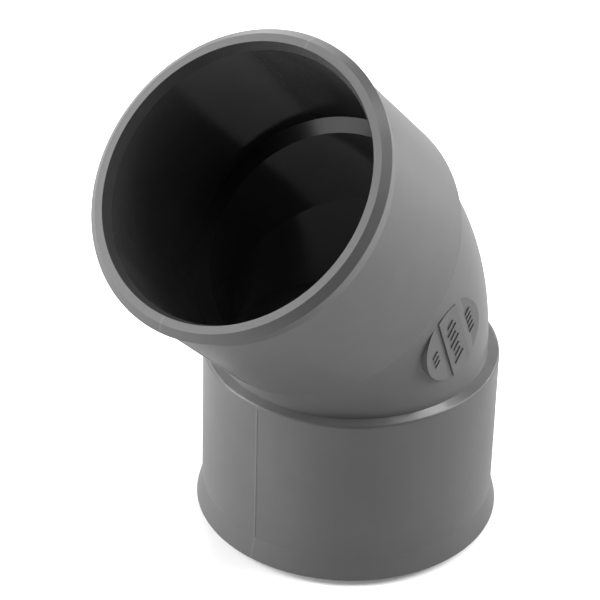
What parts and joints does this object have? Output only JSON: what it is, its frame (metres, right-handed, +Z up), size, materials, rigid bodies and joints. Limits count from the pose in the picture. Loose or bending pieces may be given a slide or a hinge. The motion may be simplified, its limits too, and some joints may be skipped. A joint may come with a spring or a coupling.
{
  "type": "pvc elbow fitting",
  "caption": "Grey rigid-plastic elbow with two plain sockets for the same pipe at 45 degrees, a flared rim at each mouth, a stepped bend between them and a round raised marking pad.",
  "frame": {"origin": "centre of the lower socket's mouth, on the flat ring that the fitting stands on", "axes": "+Z up the lower socket's axis; the bend lies in the XZ plane and the upper socket leans 45 degrees towards -X; the marking pad is on the -Y side"},
  "size_m": [0.0833, 0.058, 0.1047],
  "materials": {
    "pvc": "moulded, satin to semi-gloss, mid grey all through"
  },
  "bodies": {
    "root": {"lower_rim": "pvc", "lower_socket": "pvc", "lower_stop": "pvc", "bend_body": "pvc", "upper_stop": "pvc", "upper_socket": "pvc", "upper_rim": "pvc", "throat_pad": "pvc", "heel_pad": "pvc", "marking_band": "pvc", "band_marks": "pvc", "heel_marks": "pvc", "throat_marks": "pvc"}
  },
  "joints": []
}
